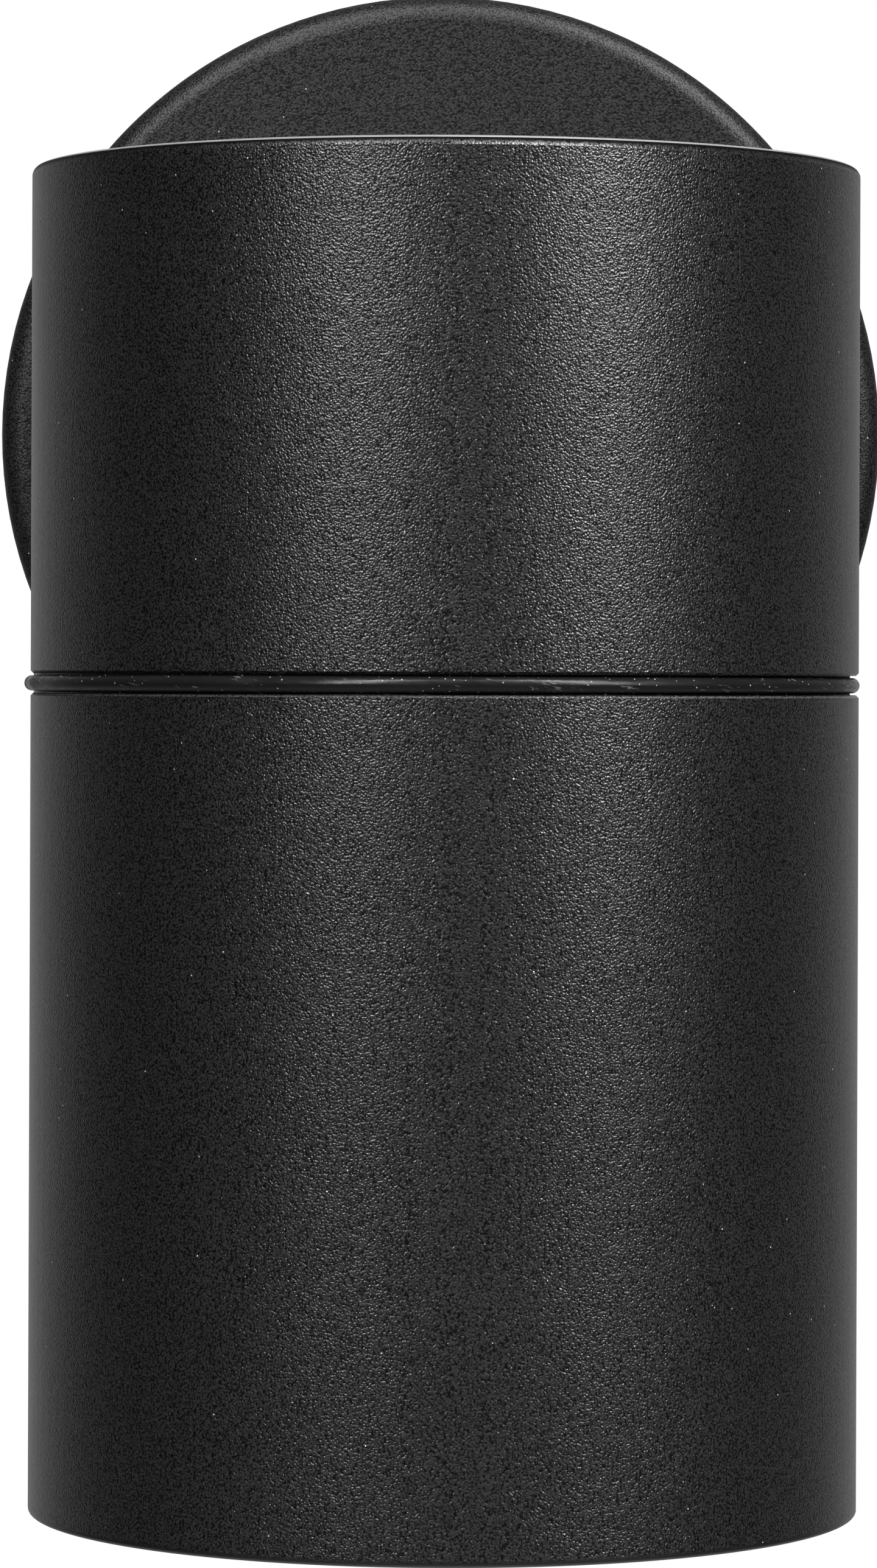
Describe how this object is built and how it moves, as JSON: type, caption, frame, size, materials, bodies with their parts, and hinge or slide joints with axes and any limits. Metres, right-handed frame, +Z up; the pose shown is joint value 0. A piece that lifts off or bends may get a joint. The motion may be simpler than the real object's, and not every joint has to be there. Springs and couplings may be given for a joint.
{
  "type": "outdoor wall downlight",
  "caption": "Outdoor wall downlight: a sectioned round tube held by a neck on a round wall plate, with a twist-lock reflector lamp behind a glass.",
  "frame": {"origin": "centre of the wall plate on the wall's face, which is the back of the mounting bracket", "axes": "+Z up along the tube, -Y straight out from the wall, +X to the right seen from the front"},
  "size_m": [0.1046, 0.1263, 0.1716],
  "materials": {
    "black_coat": "matte",
    "black_rubber": "satin",
    "wall_foam": "matte",
    "zinc_steel": "satin",
    "black_steel": "satin",
    "spring_steel": "satin",
    "block_plastic": "satin",
    "brass": "satin",
    "tinned_copper": "satin",
    "ceramic": "satin",
    "lead_brown": "satin",
    "lead_blue": "satin",
    "lead_green": "satin",
    "silicone": "satin",
    "clear_glass": "polished",
    "lamp_shell": "satin",
    "lamp_lens": "gloss",
    "nickel": "polished"
  },
  "bodies": {
    "fixture": {"wall_gasket": "wall_foam", "mounting_bracket": "zinc_steel", "cable_grommet": "black_rubber", "terminal_block": "block_plastic", "terminal_clamps": "brass", "terminal_screws": "zinc_steel", "terminal_fixings": "zinc_steel", "wall_plate": "black_coat", "plate_grub_screws": "black_steel", "neck_gasket": "black_rubber", "neck_screws": "zinc_steel", "neck_washers": "zinc_steel", "lead_bush": "black_rubber", "upper_housing": "black_coat", "joint_ring": "black_rubber", "lampholder_bridge": "zinc_steel", "bridge_screws": "zinc_steel", "lampholder": "ceramic", "holder_contacts": "tinned_copper", "holder_screws": "zinc_steel", "holder_nuts": "zinc_steel", "lead_live": "lead_brown", "lead_neutral": "lead_blue", "lead_earth": "lead_green", "earth_terminal": "tinned_copper", "earth_screw": "brass"},
    "lower_section": {"lower_tube": "black_coat", "tube_set_screws": "black_steel", "front_glass": "clear_glass", "glass_gasket": "silicone", "glass_retaining_ring": "spring_steel"},
    "lamp": {"lamp_body": "lamp_shell", "lamp_base": "lamp_shell", "lamp_pins": "nickel", "lamp_lens": "lamp_lens"}
  },
  "joints": [
    {"name": "lower_section_pull", "type": "slide", "parent": "fixture", "child": "lower_section", "axis": [0, 0, -1], "range_m": [0, 0.08]},
    {"name": "lamp_twist", "type": "hinge", "parent": "fixture", "child": "lamp", "pos_m": [0, -0.081, -0.0483], "axis": [0, 0, 1], "range_deg": [-45, 0]}
  ]
}
